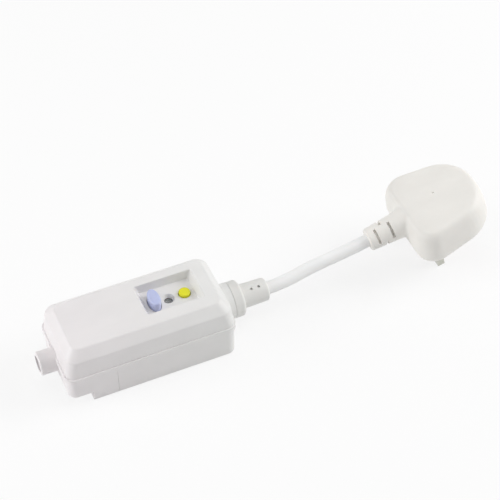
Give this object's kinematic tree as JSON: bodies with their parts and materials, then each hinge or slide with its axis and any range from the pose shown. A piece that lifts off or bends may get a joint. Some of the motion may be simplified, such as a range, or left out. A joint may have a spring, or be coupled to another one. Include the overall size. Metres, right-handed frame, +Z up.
{
  "type": "rcd adapter plug",
  "caption": "Oblong in-line residual current box with reset and test buttons, a flag window, a cable outlet and a short flex to a moulded three-pin fused plug.",
  "frame": {"origin": "middle of the box's flat underside, on the surface that the box and the plug's pins rest on", "axes": "+X from the cable outlet towards the flex and plug, +Z up, -Y the side that shows the terminal cover's seam"},
  "size_m": [0.2531, 0.0526, 0.046],
  "materials": {
    "casing_white": "fine moulded satin",
    "plug_white": "moulded satin",
    "flex_white": "smooth PVC",
    "reset_blue": "gloss",
    "test_yellow": "gloss",
    "window_clear": "clear",
    "flag_black": "matt",
    "flag_red": "matt",
    "frame_grey": "matt",
    "carrier_dark": "matt",
    "brass": "bright",
    "steel": "zinc plated",
    "spring_steel": "drawn wire",
    "copper_winding": "enamelled wire",
    "ferrite": "matt",
    "board_green": "solder mask",
    "component_blue": "dipped",
    "component_tan": "lacquered",
    "component_black": "matt",
    "core_brown": "smooth",
    "core_blue": "smooth",
    "core_green": "smooth",
    "fuse_body": "glazed ceramic",
    "fuse_holder_red": "matt"
  },
  "bodies": {
    "box": {"base_tray": "casing_white", "top_cover": "casing_white", "terminal_cover": "casing_white", "plug_body": "plug_white", "plug_pin_bridge": "plug_white", "supply_strain_relief": "flex_white", "flex_sheath_tail": "flex_white", "supply_flex": "flex_white", "plug_strain_relief": "flex_white", "plug_flex_tail": "flex_white", "indicator_window": "window_clear", "mechanism_frame": "frame_grey", "trip_bobbin": "frame_grey", "test_contact_rivet": "brass", "fixed_contacts": "brass", "line_busbar": "brass", "neutral_busbar": "brass", "terminals": "brass", "line_pin": "brass", "neutral_pin": "brass", "earth_pin": "brass", "fuse_clips": "brass", "casing_screws": "steel", "terminal_cover_screws": "steel", "trip_yoke": "steel", "latch_pin": "steel", "terminal_screws": "steel", "inlet_clamp_bar": "steel", "outlet_clamp_bar": "steel", "clamp_screws": "steel", "reset_spring": "spring_steel", "test_spring": "spring_steel", "carrier_spring": "spring_steel", "plunger_spring": "spring_steel", "trip_coil": "copper_winding", "sense_winding": "copper_winding", "sense_core": "ferrite", "circuit_board": "board_green", "varistor": "component_blue", "test_resistor": "component_tan", "capacitor": "component_black", "control_chip": "component_black", "rectifier_diodes": "component_black", "pin_sleeves": "component_black", "line_conductor": "core_brown", "plug_conductors": "core_brown", "neutral_conductor": "core_blue", "earth_conductor": "core_green"},
    "reset": {"reset_button": "reset_blue"},
    "carrier": {"contact_carrier": "carrier_dark", "moving_contacts": "brass"},
    "flag": {"indicator_flag": "flag_black", "flag_patch": "flag_red"},
    "test": {"test_button": "test_yellow", "test_contact_tip": "brass"},
    "plunger": {"trip_plunger": "steel"},
    "latch": {"latch_lever": "steel"},
    "fuse_drawer": {"fuse_carrier": "fuse_holder_red", "cartridge_fuse": "fuse_body"}
  },
  "joints": [
    {"name": "reset_press", "type": "slide", "parent": "box", "child": "reset", "axis": [0, 0, -1], "range_m": [0, 0.0025], "stiffness_N_per_m": 600, "deforming": ["reset_spring"]},
    {"name": "carrier_drive", "type": "slide", "parent": "box", "child": "carrier", "axis": [0, 0, -1], "range_m": [0, 0.0025], "deforming": ["carrier_spring"]},
    {"name": "flag_slide", "type": "slide", "parent": "box", "child": "flag", "axis": [0, -1, 0], "range_m": [0, 0.005]},
    {"name": "test_press", "type": "slide", "parent": "box", "child": "test", "axis": [0, 0, -1], "range_m": [0, 0.0015], "stiffness_N_per_m": 400, "deforming": ["test_spring"]},
    {"name": "plunger_pull", "type": "slide", "parent": "box", "child": "plunger", "axis": [0, 0, -1], "range_m": [0, 0.0012], "stiffness_N_per_m": 200},
    {"name": "latch_rock", "type": "hinge", "parent": "box", "child": "latch", "pos_m": [-0.0032, 0.0012, 0.0212], "axis": [0, -1, 0], "range_deg": [0, 10], "deforming": ["plunger_spring"]},
    {"name": "fuse_slide", "type": "slide", "parent": "box", "child": "fuse_drawer", "axis": [0.241, 0, -0.9705], "range_m": [0, 0.012]}
  ],
  "couplings": [
    {"joint": "carrier_drive", "follows": "reset_press", "ratio": 1},
    {"joint": "flag_slide", "follows": "reset_press", "ratio": 2},
    {"joint": "latch_rock", "follows": "plunger_pull", "rad_per_m": 145.44}
  ]
}
